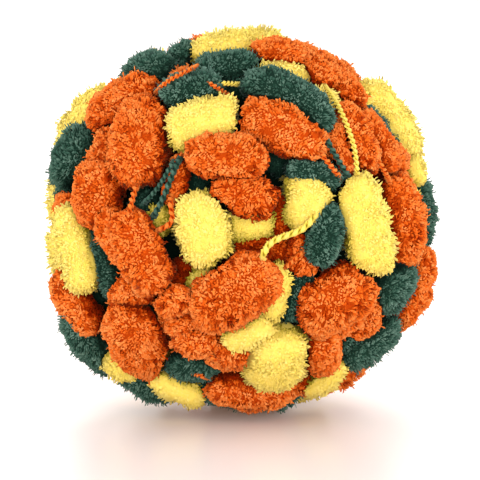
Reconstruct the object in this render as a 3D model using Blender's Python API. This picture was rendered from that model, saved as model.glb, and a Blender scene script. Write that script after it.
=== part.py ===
"""A ball of pom pom yarn, 176 mm across.

The yarn carries a soft pompom every few centimetres, dyed orange, yellow or dark green, and is wound
into a ball. The pompoms that lie on the ball's front are placed by hand, as one looks at it. The rest
are wound on by a rule. All of them are joined to the ball's heart as one solid, which stands on a small
flat spot. The origin is in the middle of that spot, +Z is up and the front faces -Y.
"""

from collections import namedtuple
import math

import bmesh
import bpy
import numpy as np
from mathutils import Vector

MM = 0.001

# The ball
BALL_RADIUS = 88 * MM
HEART_RADIUS = 67 * MM
FLAT_DEPTH = 3 * MM
CENTRE = np.array((0, 0, BALL_RADIUS - FLAT_DEPTH))

# How one looks at it: from the front, a little from above
VIEW_DISTANCE = 1.3
VIEW_TILT = math.radians(8)
LEAST_SLANT = 0.35

# A pompom's form: its depth as a share of its width, and how plump it is where the tables don't say. A
# plumpness of 2 is an ellipse, and more fills it out towards its ends.
THICK_TO_WIDE = 0.92
PLUMPNESS = 2.7

# How fine the solids are
ROUND_STEPS = 10
LONG_STEPS = 7
HEART_STEPS = 24
MOST_TRIANGLES = 11500

# The rest of the winding: the pompoms on its outside, then those that show between them. A share of a
# pompom's outline stays clear of the others, and its length and width are uneven by a share.
Winding = namedtuple("Winding", "long wide sink clear uneven")
OUTER_WINDING = Winding(long=38 * MM, wide=26 * MM, sink=0, clear=0.72, uneven=0.1)
INNER_WINDING = Winding(long=32 * MM, wide=24 * MM, sink=7 * MM, clear=0.25, uneven=0.1)
WOUND_SEED = 7
SPIRAL_SPOTS = 900
TURNS = 6
GOLDEN_ANGLE = math.pi * (3 - math.sqrt(5))

# The pompom that the ball stands on
FOOT_LONG = 40 * MM
FOOT_WIDE = 28 * MM

# Dyes
ORANGE = 0
YELLOW = 1
GREEN = 2
DYE_SHARES = {ORANGE: 0.46, YELLOW: 0.27, GREEN: 0.27}
DYES = {
    "orange_pile": (0.80, 0.20, 0.03),
    "yellow_pile": (0.90, 0.70, 0.08),
    "green_pile": (0.03, 0.10, 0.08),
}

# Each row is a pompom, with its place and size in millimetres as one looks at the ball's front:
# across and up from the ball's centre, the length and width of the pompom, the angle of its length
# from level, how far its top is sunk under the ball's round, how far its ends curl to its side, and how
# plump it is.
Pompom = namedtuple("Pompom", "dye across up long wide turn sink curl plump")

TOP_POMPOMS = [
    Pompom(YELLOW, -9, 76, 30, 22, 14, 0, 0, 2.6),
    Pompom(GREEN, -26, 75, 24, 16, 60, 1, 0, 2.6),
    Pompom(ORANGE, 17, 75, 28, 18, -6, -1, 0, 2.8),
    Pompom(ORANGE, 34, 68, 32, 20, -50, 0, 0, 2.8),
    Pompom(ORANGE, 47, 59, 24, 17, -50, 1, 0, 2.6),
    Pompom(GREEN, -7, 69, 32, 19, 12, 2, 0, 3.0),
    Pompom(YELLOW, 17, 65, 31, 22, 0, 5, -3, 2.6),
    Pompom(GREEN, -23, 58, 30, 22, 9, -1, 0, 3.0),
    Pompom(GREEN, 1, 58, 28, 22, 0, 11, 0, 2.8),
    Pompom(GREEN, 23, 56, 46, 21, -30, -3, -4, 3.0),
    Pompom(ORANGE, 19, 41, 43, 25, -29, -1, -2, 3.2),
    Pompom(YELLOW, -17, 44, 33, 24, 12, 0, 0, 3.4),
    Pompom(ORANGE, -7, 29, 37, 24, -9, 0, 0, 2.8),
    Pompom(GREEN, -42, 67, 30, 22, 8, -3, 0, 2.8),
    Pompom(GREEN, -34, 66, 26, 20, -20, 4, 0, 2.6),
    Pompom(ORANGE, -54, 54, 44, 22, 27, -2, 0, 2.8),
]

LEFT_POMPOMS = [
    Pompom(GREEN, -72, 29, 38, 33, 48, -4, 0, 3.0),
    Pompom(GREEN, -78, 14, 22, 18, 80, 1, 0, 2.6),
    Pompom(ORANGE, -79, 7, 18, 14, 0, 1, 0, 2.6),
    Pompom(ORANGE, -46, 36, 44, 29, 84, -3, 0, 3.0),
    Pompom(ORANGE, -59, 29, 32, 22, 74, 7, 0, 2.6),
    Pompom(ORANGE, -64, 12, 30, 28, 90, -1, 0, 2.8),
    Pompom(GREEN, -43, 5, 28, 22, 70, 15, 0, 2.6),
    Pompom(YELLOW, -38, 0, 20, 16, 60, 16, 0, 2.6),
    Pompom(ORANGE, -46, -14, 41, 24, -64, -3, 0, 3.0),
    Pompom(ORANGE, -56, -8, 34, 18, -62, 1, 0, 2.6),
    Pompom(YELLOW, -74, -13, 40, 23, -76, -2, 0, 3.0),
    Pompom(GREEN, -60, -20, 38, 20, -70, 8, 0, 2.6),
    Pompom(GREEN, -61, -36, 30, 20, -80, 8, 0, 2.6),
    Pompom(ORANGE, -74, -37, 36, 24, -58, -6, 0, 2.8),
    Pompom(ORANGE, -47, -52, 42, 31, -74, -4, 0, 2.8),
    Pompom(ORANGE, -30, -36, 19, 16, 20, 0, 0, 2.4),
    Pompom(ORANGE, -29, -41, 26, 22, 0, 10, 0, 2.6),
    Pompom(ORANGE, -50, -33, 28, 20, 30, 6, 0, 2.6),
]

HOLLOW_POMPOMS = [
    Pompom(ORANGE, 1, 12, 30, 22, -20, 6, 0, 2.6),
    Pompom(YELLOW, 3, -1, 26, 22, 0, 15, 0, 2.6),
    Pompom(YELLOW, -17, -4, 35, 26, 102, 3, 0, 2.4),
    Pompom(YELLOW, 30, 10, 31, 24, 95, 5, 0, 3.4),
    Pompom(GREEN, 33, 21, 30, 18, -18, 4, 0, 2.6),
    Pompom(GREEN, 15, 27, 24, 16, -20, 15, 0, 2.6),
    Pompom(ORANGE, 18, 3, 26, 18, 80, 18, 0, 2.6),
    Pompom(ORANGE, 4, -12, 28, 20, 10, 17, 0, 2.6),
    Pompom(ORANGE, 28, -15, 24, 20, 70, 8, 0, 2.6),
    Pompom(ORANGE, 19, -14, 24, 20, 20, 17, 0, 2.6),
    Pompom(GREEN, 24, -32, 34, 22, 70, 9, 0, 2.6),
    Pompom(GREEN, -19, 15, 26, 20, 80, 18, 0, 2.6),
    Pompom(ORANGE, -29, 17, 22, 14, 75, 12, 0, 2.6),
    Pompom(ORANGE, -26, -24, 30, 20, 20, 17, 0, 2.6),
    Pompom(YELLOW, -19, -31, 26, 18, 60, 11, 0, 2.6),
    Pompom(YELLOW, 15, -32, 28, 18, 80, 7, 0, 2.6),
]

RIGHT_POMPOMS = [
    Pompom(GREEN, 37, -6, 31, 20, 75, 1, 0, 2.8),
    Pompom(YELLOW, 55, -2, 46, 25, -76, -4, 2, 3.4),
    Pompom(ORANGE, 72, 1, 44, 24, -80, -1, 0, 3.0),
    Pompom(GREEN, 67, -29, 32, 24, 45, 1, 0, 2.8),
    Pompom(ORANGE, 44, 32, 30, 15, -74, 3, 0, 2.8),
    Pompom(ORANGE, 52, 38, 36, 17, -67, -1, 0, 2.8),
    Pompom(ORANGE, 62, 36, 33, 14, -60, 1, 0, 2.8),
    Pompom(GREEN, 66, 37, 30, 14, -58, 6, 0, 2.6),
    Pompom(ORANGE, 69, 29, 18, 12, -60, 3, 0, 2.6),
    Pompom(ORANGE, 65, 21, 26, 20, -60, 8, 0, 2.6),
]

BOTTOM_POMPOMS = [
    Pompom(ORANGE, -26, -46, 20, 16, 40, 4, 0, 2.4),
    Pompom(ORANGE, -20, -54, 24, 19, -10, 1, 0, 2.4),
    Pompom(ORANGE, -3, -32, 43, 30, 33, -4, 0, 2.8),
    Pompom(YELLOW, 15, -60, 36, 30, 78, -2, 0, 3.2),
    Pompom(YELLOW, 2, -51, 28, 18, 25, 3, 0, 2.8),
    Pompom(ORANGE, -6, -58, 24, 21, 0, 2, 0, 2.6),
    Pompom(ORANGE, 41, -35, 37, 31, 28, -3, 0, 3.2),
    Pompom(ORANGE, 36, -59, 30, 20, -80, 0, 0, 2.8),
    Pompom(GREEN, 48, -51, 26, 20, 30, 6, 0, 2.6),
    Pompom(GREEN, 63, -46, 26, 18, 45, 6, 0, 2.6),
    Pompom(ORANGE, 54, -44, 30, 20, 62, 5, 0, 2.8),
    Pompom(ORANGE, 46, -43, 28, 20, 40, 7, 0, 2.6),
    Pompom(GREEN, 58, -55, 42, 20, 30, -2, 0, 2.8),
    Pompom(GREEN, -23, -64, 30, 20, 0, 4, 0, 2.8),
    Pompom(GREEN, -20, -73, 26, 18, -8, 3, 0, 2.8),
    Pompom(GREEN, -69, -53, 44, 24, -38, -9, 0, 2.8),
    Pompom(ORANGE, 4, -76, 44, 22, -4, -1, 0, 3.0),
    Pompom(ORANGE, 31, -72, 28, 15, 22, 2, 0, 2.6),
    Pompom(YELLOW, 38, -71, 30, 14, 42, -1, 0, 2.8),
    Pompom(YELLOW, -29, -75, 30, 17, -26, -2, 0, 2.8),
]

# These lie behind the rim of what one sees.
RIM_POMPOMS = [
    Pompom(YELLOW, 6, 77, 38, 24, 10, 0, 0, 2.6),
    Pompom(ORANGE, 24, 72, 34, 22, 0, 1, 0, 2.6),
    Pompom(ORANGE, 42, 64, 36, 22, -48, 0, 0, 2.6),
    Pompom(YELLOW, -68, 43, 42, 28, 50, -6, 0, 2.8),
    Pompom(YELLOW, -80, -18, 36, 20, -80, -1, 0, 2.8),
    Pompom(YELLOW, -78, 12, 32, 22, 80, -1, 0, 2.6),
    Pompom(GREEN, 78, 4, 42, 22, -85, -2, 0, 2.8),
    Pompom(ORANGE, 77, -31, 44, 22, 60, -4, 0, 2.8),
    Pompom(YELLOW, 66, 45, 44, 24, -55, -3, 0, 3.0),
    Pompom(YELLOW, 78, 23, 16, 14, -70, 1, 0, 2.4),
    Pompom(YELLOW, -56, -63, 34, 20, -20, -5, 0, 2.6),
    Pompom(GREEN, -47, -71, 38, 22, -32, -5, 0, 2.8),
    Pompom(ORANGE, 47, -67, 32, 16, 45, -1, 0, 2.6),
    Pompom(GREEN, 10, -77, 44, 22, 0, 1, 0, 2.6),
]

# A pompom laid on the ball: its dye, the way out of the ball through its middle, the way its length
# runs there, and the rest as in its table's row, in metres
Lump = namedtuple("Lump", "dye out along long wide sink curl plump")


def unit(vector):
    return vector / np.linalg.norm(vector)


def middle_radius(wide, sink):
    """How far a pompom's middle is from the ball's centre."""
    return BALL_RADIUS - sink - THICK_TO_WIDE * wide / 2


def seen(row, behind=False):
    """Carries a row of a table along the line of sight to the ball, or on to the ball's far side."""
    right = np.array((1.0, 0.0, 0.0))
    up = np.array((0.0, math.sin(VIEW_TILT), math.cos(VIEW_TILT)))
    sight = np.array((0.0, math.cos(VIEW_TILT), -math.sin(VIEW_TILT)))
    eye = -VIEW_DISTANCE * sight
    ray = unit(row.across * MM * right + row.up * MM * up - eye)
    radius = middle_radius(row.wide * MM, row.sink * MM)
    nearest = -eye @ ray
    half_chord = math.sqrt(max(0.0, nearest**2 + radius**2 - eye @ eye))
    out = unit(eye + (nearest + (half_chord if behind else -half_chord)) * ray)
    turn = math.radians(row.turn)
    along = math.cos(turn) * right + math.sin(turn) * up
    slant = out @ ray
    slant = math.copysign(max(abs(slant), LEAST_SLANT), slant)
    along = along - (along @ out) / slant * ray
    along = unit(along - (along @ out) * out)
    return Lump(row.dye, out, along, row.long * MM, row.wide * MM, row.sink * MM, row.curl * MM, row.plump)


def wrap(out, along, radius, length, across, height=0.0):
    """Bends a length round the ball's centre, and steps across it and up from it."""
    angle = length / radius
    way_out = np.cos(angle) * out + np.sin(angle) * along
    return CENTRE + (radius + height) * way_out + across * np.cross(out, along)


def reach_from(lump, points):
    """How far points are from a pompom's middle as a share of the way to its outline, both unbent."""
    offset = points - CENTRE
    out = offset @ lump.out
    length = np.arctan2(offset @ lump.along, out) * middle_radius(lump.wide, lump.sink) / (lump.long / 2)
    across = (offset @ np.cross(lump.out, lump.along) - lump.curl * length**2) / (lump.wide / 2)
    return np.where(out > 0, np.hypot(length, across), np.inf)


def free_places(winding):
    """Every way a pompom of this winding could lie: even spots on a spiral down the ball, each with a few
    turns. A place is the way out, the way along, and the points of the outline that stays clear."""
    step = np.arange(SPIRAL_SPOTS)
    up = 1 - 2 * (step + 0.5) / SPIRAL_SPOTS
    ring = np.sqrt(1 - up**2)
    east, north = np.cos(step * GOLDEN_ANGLE), np.sin(step * GOLDEN_ANGLE)
    out = np.tile(np.stack([ring * east, ring * north, up], axis=1), (TURNS, 1))
    level = np.tile(np.stack([-north, east, 0 * up], axis=1), (TURNS, 1))
    turn = np.repeat(np.arange(TURNS) * math.pi / TURNS, SPIRAL_SPOTS)[:, None]
    along = np.cos(turn) * level + np.sin(turn) * np.cross(out, level)
    radius = middle_radius(winding.wide, winding.sink)
    outline = [wrap(out, along, radius, 0, 0)]
    for corner in np.arange(0, 2 * math.pi, math.pi / 4):
        length = math.cos(corner) * winding.clear * winding.long / 2
        across = math.sin(corner) * winding.clear * winding.wide / 2
        outline.append(wrap(out, along, radius, length, across))
    return out, along, np.stack(outline, axis=1)


def wind(lumps, winding):
    """Lays pompoms wherever one still fits, each in the place closest to those already there."""
    chance = np.random.default_rng(WOUND_SEED)
    out, along, outline = free_places(winding)
    reach = np.min([reach_from(lump, outline) for lump in lumps], axis=0)
    made = []
    while (free := np.flatnonzero(reach.min(axis=1) > 1)).size:
        snug = free[np.argmin(reach[free].mean(axis=1))]
        dye = int(chance.choice(list(DYE_SHARES), p=list(DYE_SHARES.values())))
        long, wide = chance.uniform(1 - winding.uneven, 1 + winding.uneven, 2) * (winding.long, winding.wide)
        made.append(Lump(dye, out[snug], along[snug], long, wide, winding.sink, 0.0, PLUMPNESS))
        reach = np.minimum(reach, reach_from(made[-1], outline))
    return made


def all_lumps():
    """The pompoms from the tables, the one that the ball stands on, and the rest of the winding."""
    tables = TOP_POMPOMS + LEFT_POMPOMS + HOLLOW_POMPOMS + RIGHT_POMPOMS + BOTTOM_POMPOMS
    lumps = [seen(row) for row in tables] + [seen(row, behind=True) for row in RIM_POMPOMS]
    down, level = np.array((0.0, 0.0, -1.0)), np.array((1.0, 0.0, 0.0))
    lumps.append(Lump(GREEN, down, level, FOOT_LONG, FOOT_WIDE, 0.0, 0.0, PLUMPNESS))
    lumps += wind(lumps, OUTER_WINDING)
    lumps += wind(lumps, INNER_WINDING)
    return lumps


# Blender objects


def make_dye(name, colour):
    """The soft, dull pile in one of the yarn's dyes."""
    material = bpy.data.materials.new(name)
    material.use_nodes = True
    shader = material.node_tree.nodes["Principled BSDF"]
    shader.inputs["Base Color"].default_value = (*colour, 1.0)
    shader.inputs["Roughness"].default_value = 0.95
    shader.inputs["Metallic"].default_value = 0.0
    return material


def make_object(name, mesh, dyes, collection):
    body = bpy.data.objects.new(name, mesh)
    for dye in dyes:
        mesh.materials.append(dye)
    collection.objects.link(body)
    return body


def round_mesh(name, radius, segments, rings, shape, dye):
    """A sphere whose points are moved to where shape says, all in one dye."""
    ball = bmesh.new()
    bmesh.ops.create_uvsphere(ball, u_segments=segments, v_segments=rings, radius=radius)
    for vert, point in zip(ball.verts, shape(np.array([vert.co for vert in ball.verts]))):
        vert.co = Vector(point)
    bmesh.ops.triangulate(ball, faces=ball.faces)
    bmesh.ops.recalc_face_normals(ball, faces=ball.faces)
    for face in ball.faces:
        face.material_index = dye
    mesh = bpy.data.meshes.new(name)
    ball.to_mesh(mesh)
    ball.free()
    return mesh


def pompom_shape(lump, ball):
    """Draws a unit sphere out into a plump bean and bends it round the ball.

    The sphere's poles become the bean's ends. Its height and its ring are raised to a power below one,
    which fills the bean out towards its ends, and the height is then bent round the ball's centre.
    """
    fill = 2 / lump.plump
    end = np.sign(ball[:, 2]) * np.abs(ball[:, 2]) ** fill
    ring = np.hypot(ball[:, 0], ball[:, 1])
    grow = np.maximum(ring, 1e-9) ** (fill - 1)
    across = ball[:, 0] * grow * lump.wide / 2 + lump.curl * end**2
    height = ball[:, 1] * grow * THICK_TO_WIDE * lump.wide / 2
    radius = middle_radius(lump.wide, lump.sink)
    length = end * lump.long / 2
    return wrap(lump.out, lump.along, radius, length[:, None], across[:, None], height[:, None])


def make_pompom(number, lump, dyes, collection):
    """One soft pompom, its pile taken up to the tips."""
    name = f"pompom_{number:03d}"
    mesh = round_mesh(name, 1.0, ROUND_STEPS, LONG_STEPS, lambda ball: pompom_shape(lump, ball), lump.dye)
    return make_object(name, mesh, dyes, collection)


def make_heart(dyes, collection):
    """The inside of the winding, which the outer pompoms lie on."""
    name = "pompom_yarn_ball"
    mesh = round_mesh(name, HEART_RADIUS, HEART_STEPS, HEART_STEPS // 2, lambda ball: ball + CENTRE, GREEN)
    return make_object(name, mesh, dyes, collection)


def make_floor(collection):
    """The block under the ball that its flat spot is cut with."""
    block = bmesh.new()
    side = 4 * BALL_RADIUS
    bmesh.ops.create_cube(block, size=side)
    bmesh.ops.translate(block, verts=block.verts, vec=(0, 0, -side / 2))
    mesh = bpy.data.meshes.new("floor_cut")
    block.to_mesh(mesh)
    block.free()
    return make_object("floor_cut", mesh, (), collection)


def add_boolean(body, operation, collection):
    boolean = body.modifiers.new(operation.lower(), "BOOLEAN")
    boolean.operation = operation
    boolean.solver = "EXACT"
    boolean.operand_type = "COLLECTION"
    boolean.collection = collection


def keep_outside(body):
    """Makes the joined body's mesh its own, without the walls of any hollow sealed in between pompoms."""
    graph = bpy.context.evaluated_depsgraph_get()
    shell = bmesh.new()
    shell.from_mesh(bpy.data.meshes.new_from_object(body.evaluated_get(graph)))
    body.modifiers.clear()
    outside = set(max(shell.verts, key=lambda vert: vert.co.z).link_faces)
    rim = list(outside)
    while rim:
        edges = rim.pop().edges
        near = {face for edge in edges for face in edge.link_faces} - outside
        outside |= near
        rim += near
    bmesh.ops.delete(shell, geom=[face for face in shell.faces if face not in outside], context="FACES")
    bmesh.ops.triangulate(shell, faces=shell.faces)
    shell.to_mesh(body.data)
    shell.free()
    body.data.shade_smooth()


def thin_out(body):
    """Merges the small triangles that the joins leave along the creases."""
    thin = body.modifiers.new("thin_out", "DECIMATE")
    thin.decimate_type = "COLLAPSE"
    thin.ratio = MOST_TRIANGLES / len(body.data.polygons)


def new_collection(name):
    collection = bpy.data.collections.new(name)
    bpy.context.scene.collection.children.link(collection)
    return collection


def hide(collection):
    """Keeps helpers out of the finished object."""
    for helper in collection.objects:
        helper.hide_render = True
        helper.display_type = "WIRE"


def main():
    for old in list(bpy.data.objects):
        bpy.data.objects.remove(old, do_unlink=True)
    object_collection = new_collection("pom_pom_yarn")
    pompoms = new_collection("pompoms")
    cutters = new_collection("cutters")
    dyes = [make_dye(name, colour) for name, colour in DYES.items()]
    ball = make_heart(dyes, object_collection)
    for number, lump in enumerate(all_lumps()):
        make_pompom(number, lump, dyes, pompoms)
    make_floor(cutters)
    hide(pompoms)
    hide(cutters)
    add_boolean(ball, "UNION", pompoms)
    keep_outside(ball)
    thin_out(ball)
    add_boolean(ball, "DIFFERENCE", cutters)


main()
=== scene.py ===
# %% [markdown]
# # A ball of pom pom yarn
#
# Pom pom yarn is a thin twisted cord that carries a soft pompom every few centimetres. This ball is dyed
# in runs of orange, yellow and dark green, and is wound so that its pompoms lie side by side over a
# round heart, with short lengths of the cord showing between them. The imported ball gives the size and
# the place of everything. This lesson dresses it: each pompom becomes thousands of short tufts on a
# soft body, and the cords become two twisted plies.

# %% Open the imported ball
import math
from collections import namedtuple

import bpy
import numpy as np
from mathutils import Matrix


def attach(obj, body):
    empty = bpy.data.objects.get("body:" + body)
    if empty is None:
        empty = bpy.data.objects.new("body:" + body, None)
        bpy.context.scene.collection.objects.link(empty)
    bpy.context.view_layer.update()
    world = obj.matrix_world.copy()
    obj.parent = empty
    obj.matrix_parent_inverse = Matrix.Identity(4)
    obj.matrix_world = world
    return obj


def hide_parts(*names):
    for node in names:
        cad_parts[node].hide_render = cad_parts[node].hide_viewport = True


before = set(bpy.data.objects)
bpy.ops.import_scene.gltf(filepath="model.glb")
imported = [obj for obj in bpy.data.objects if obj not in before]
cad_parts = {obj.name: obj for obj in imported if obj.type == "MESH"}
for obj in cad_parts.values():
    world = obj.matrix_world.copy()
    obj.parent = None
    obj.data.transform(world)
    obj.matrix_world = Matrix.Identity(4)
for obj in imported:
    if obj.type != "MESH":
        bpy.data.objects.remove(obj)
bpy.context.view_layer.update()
MM = 0.001

# %% [markdown]
# ## The camera
#
# The picture is taken with a long lens from the front, a little from above, so the ball hardly narrows
# with distance. The lens follows from how far off the camera stands, and how many millimetres one point
# of the picture covers at the ball's middle. A small shift puts the ball's middle slightly above the
# middle of the picture.

# %% Camera
def new_object(name, data):
    """An object in the scene."""
    thing = bpy.data.objects.new(name, data)
    bpy.context.scene.collection.objects.link(thing)
    return thing


CENTRE = np.array((0.0, 0.0, 85 * MM))
VIEW_DISTANCE = 1.3
VIEW_TILT = math.radians(8)
PICTURE_POINTS = 480
MM_A_POINT = 0.45
BALL_IN_PICTURE = (242, 221)
SIGHT = np.array((0.0, math.cos(VIEW_TILT), -math.sin(VIEW_TILT)))
RIGHT = np.array((1.0, 0.0, 0.0))
UP = np.array((0.0, math.sin(VIEW_TILT), math.cos(VIEW_TILT)))

lens = bpy.data.cameras.new("camera")
lens.sensor_width = 36.0
lens.lens = lens.sensor_width * VIEW_DISTANCE / (PICTURE_POINTS * MM_A_POINT * MM)
lens.shift_x = 0.5 - BALL_IN_PICTURE[0] / PICTURE_POINTS
lens.shift_y = BALL_IN_PICTURE[1] / PICTURE_POINTS - 0.5
camera = new_object("camera", lens)
camera.location = CENTRE - VIEW_DISTANCE * SIGHT
camera.rotation_euler = (math.pi / 2 - VIEW_TILT, 0, 0)
bpy.context.scene.camera = camera
print(f"a {lens.lens:.0f} mm lens from {VIEW_DISTANCE} m away")

# %% [markdown]
# ## Where the pompoms lie
#
# The solids were made from a table of pompoms, placed one by one as one looks at the ball's front, and a
# rule that winds on the rest. Both are worked out again here, because every tuft needs to know which
# pompom it grows on. A row gives a pompom's dye, its place across and up from the ball's middle, its
# length and width, the angle of its length from level, how far its top is sunk under the ball's round,
# how plump it is, and how far its ends curl to the side. Lengths are in millimetres and angles in
# degrees. A plumpness of 2 is an ellipse, and more fills it out to its ends. The last two values may be
# left out, because 2.6 is the usual plumpness and most pompoms don't curl.

# %% The ball's sizes
BALL_RADIUS = 88 * MM
HEART_RADIUS = 67 * MM
LEAST_SLANT = 0.35
THICK_TO_WIDE = 0.92
GOLDEN_ANGLE = math.pi * (3 - math.sqrt(5))
ORANGE, YELLOW, GREEN = 0, 1, 2
DYE_NAMES = ("orange", "yellow", "green")
USUAL_PLUMPNESS = 2.6
Pompom = namedtuple("Pompom", "dye across up long wide turn sink plump curl", defaults=(USUAL_PLUMPNESS, 0))
Lump = namedtuple("Lump", "dye out along long wide sink curl plump")

# %% The pompoms on the front
FRONT_POMPOMS = [
    # the top
    (YELLOW, -9, 76, 30, 22, 14, 0),
    (GREEN, -26, 75, 24, 16, 60, 1),
    (ORANGE, 17, 75, 28, 18, -6, -1, 2.8),
    (ORANGE, 34, 68, 32, 20, -50, 0, 2.8),
    (ORANGE, 47, 59, 24, 17, -50, 1),
    (GREEN, -7, 69, 32, 19, 12, 2, 3.0),
    (YELLOW, 17, 65, 31, 22, 0, 5, 2.6, -3),
    (GREEN, -23, 58, 30, 22, 9, -1, 3.0),
    (GREEN, 1, 58, 28, 22, 0, 11, 2.8),
    (GREEN, 23, 56, 46, 21, -30, -3, 3.0, -4),
    (ORANGE, 19, 41, 43, 25, -29, -1, 3.2, -2),
    (YELLOW, -17, 44, 33, 24, 12, 0, 3.4),
    (ORANGE, -7, 29, 37, 24, -9, 0, 2.8),
    (GREEN, -42, 67, 30, 22, 8, -3, 2.8),
    (GREEN, -34, 66, 26, 20, -20, 4),
    (ORANGE, -54, 54, 44, 22, 27, -2, 2.8),
    # the left
    (GREEN, -72, 29, 38, 33, 48, -4, 3.0),
    (GREEN, -78, 14, 22, 18, 80, 1),
    (ORANGE, -79, 7, 18, 14, 0, 1),
    (ORANGE, -46, 36, 44, 29, 84, -3, 3.0),
    (ORANGE, -59, 29, 32, 22, 74, 7),
    (ORANGE, -64, 12, 30, 28, 90, -1, 2.8),
    (GREEN, -43, 5, 28, 22, 70, 15),
    (YELLOW, -38, 0, 20, 16, 60, 16),
    (ORANGE, -46, -14, 41, 24, -64, -3, 3.0),
    (ORANGE, -56, -8, 34, 18, -62, 1),
    (YELLOW, -74, -13, 40, 23, -76, -2, 3.0),
    (GREEN, -60, -20, 38, 20, -70, 8),
    (GREEN, -61, -36, 30, 20, -80, 8),
    (ORANGE, -74, -37, 36, 24, -58, -6, 2.8),
    (ORANGE, -47, -52, 42, 31, -74, -4, 2.8),
    (ORANGE, -30, -36, 19, 16, 20, 0, 2.4),
    (ORANGE, -29, -41, 26, 22, 0, 10),
    (ORANGE, -50, -33, 28, 20, 30, 6),
    # the hollow
    (ORANGE, 1, 12, 30, 22, -20, 6),
    (YELLOW, 3, -1, 26, 22, 0, 15),
    (YELLOW, -17, -4, 35, 26, 102, 3, 2.4),
    (YELLOW, 30, 10, 31, 24, 95, 5, 3.4),
    (GREEN, 33, 21, 30, 18, -18, 4),
    (GREEN, 15, 27, 24, 16, -20, 15),
    (ORANGE, 18, 3, 26, 18, 80, 18),
    (ORANGE, 4, -12, 28, 20, 10, 17),
    (ORANGE, 28, -15, 24, 20, 70, 8),
    (ORANGE, 19, -14, 24, 20, 20, 17),
    (GREEN, 24, -32, 34, 22, 70, 9),
    (GREEN, -19, 15, 26, 20, 80, 18),
    (ORANGE, -29, 17, 22, 14, 75, 12),
    (ORANGE, -26, -24, 30, 20, 20, 17),
    (YELLOW, -19, -31, 26, 18, 60, 11),
    (YELLOW, 15, -32, 28, 18, 80, 7),
    # the right
    (GREEN, 37, -6, 31, 20, 75, 1, 2.8),
    (YELLOW, 55, -2, 46, 25, -76, -4, 3.4, 2),
    (ORANGE, 72, 1, 44, 24, -80, -1, 3.0),
    (GREEN, 67, -29, 32, 24, 45, 1, 2.8),
    (ORANGE, 44, 32, 30, 15, -74, 3, 2.8),
    (ORANGE, 52, 38, 36, 17, -67, -1, 2.8),
    (ORANGE, 62, 36, 33, 14, -60, 1, 2.8),
    (GREEN, 66, 37, 30, 14, -58, 6),
    (ORANGE, 69, 29, 18, 12, -60, 3),
    (ORANGE, 65, 21, 26, 20, -60, 8),
    # the bottom
    (ORANGE, -26, -46, 20, 16, 40, 4, 2.4),
    (ORANGE, -20, -54, 24, 19, -10, 1, 2.4),
    (ORANGE, -3, -32, 43, 30, 33, -4, 2.8),
    (YELLOW, 15, -60, 36, 30, 78, -2, 3.2),
    (YELLOW, 2, -51, 28, 18, 25, 3, 2.8),
    (ORANGE, -6, -58, 24, 21, 0, 2),
    (ORANGE, 41, -35, 37, 31, 28, -3, 3.2),
    (ORANGE, 36, -59, 30, 20, -80, 0, 2.8),
    (GREEN, 48, -51, 26, 20, 30, 6),
    (GREEN, 63, -46, 26, 18, 45, 6),
    (ORANGE, 54, -44, 30, 20, 62, 5, 2.8),
    (ORANGE, 46, -43, 28, 20, 40, 7),
    (GREEN, 58, -55, 42, 20, 30, -2, 2.8),
    (GREEN, -23, -64, 30, 20, 0, 4, 2.8),
    (GREEN, -20, -73, 26, 18, -8, 3, 2.8),
    (GREEN, -69, -53, 44, 24, -38, -9, 2.8),
    (ORANGE, 4, -76, 44, 22, -4, -1, 3.0),
    (ORANGE, 31, -72, 28, 15, 22, 2),
    (YELLOW, 38, -71, 30, 14, 42, -1, 2.8),
    (YELLOW, -29, -75, 30, 17, -26, -2, 2.8),
]

# %% The pompoms behind the rim
RIM_POMPOMS = [
    (YELLOW, 6, 77, 38, 24, 10, 0),
    (ORANGE, 24, 72, 34, 22, 0, 1),
    (ORANGE, 42, 64, 36, 22, -48, 0),
    (YELLOW, -68, 43, 42, 28, 50, -6, 2.8),
    (YELLOW, -80, -18, 36, 20, -80, -1, 2.8),
    (YELLOW, -78, 12, 32, 22, 80, -1),
    (GREEN, 78, 4, 42, 22, -85, -2, 2.8),
    (ORANGE, 77, -31, 44, 22, 60, -4, 2.8),
    (YELLOW, 66, 45, 44, 24, -55, -3, 3.0),
    (YELLOW, 78, 23, 16, 14, -70, 1, 2.4),
    (YELLOW, -56, -63, 34, 20, -20, -5),
    (GREEN, -47, -71, 38, 22, -32, -5, 2.8),
    (ORANGE, 47, -67, 32, 16, 45, -1),
    (GREEN, 10, -77, 44, 22, 0, 1),
]
print(len(FRONT_POMPOMS), "pompoms placed on the front,", len(RIM_POMPOMS), "behind the rim")

# %% [markdown]
# ## Laying a pompom on the ball
#
# A row says where a pompom is seen, not where it is. The line of sight through that place is followed to
# the round that the pompom's middle lies on. A pompom is then a straight plump bean that is bent round
# the ball's middle, so its length becomes an angle and its height a step outwards.

# %% From a row to a place
def unit(vector):
    """A vector divided by its own length."""
    return vector / np.linalg.norm(vector, axis=-1, keepdims=True)


def middle_radius(lump):
    """The ball's radius, less what the pompom is sunk, less half its depth."""
    return BALL_RADIUS - lump.sink - THICK_TO_WIDE * lump.wide / 2


def seen(row, behind=False):
    """The place where the line of sight meets the round of the pompom's middle, first or last. Its
    length is slid along the line of sight until it lies on the round too."""
    eye = -VIEW_DISTANCE * SIGHT
    ray = unit(row.across * MM * RIGHT + row.up * MM * UP - eye)
    sizes = [size * MM for size in (row.long, row.wide, row.sink, row.curl)]
    lump = Lump(row.dye, None, None, *sizes, row.plump)
    nearest = -eye @ ray
    half_chord = math.sqrt(max(0.0, nearest**2 + middle_radius(lump) ** 2 - eye @ eye))
    out = unit(eye + (nearest + (half_chord if behind else -half_chord)) * ray)
    turn = math.radians(row.turn)
    along = math.cos(turn) * RIGHT + math.sin(turn) * UP
    slant = math.copysign(max(abs(out @ ray), LEAST_SLANT), out @ ray)
    along = along - (along @ out) / slant * ray
    return lump._replace(out=out, along=unit(along - (along @ out) * out))


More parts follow.
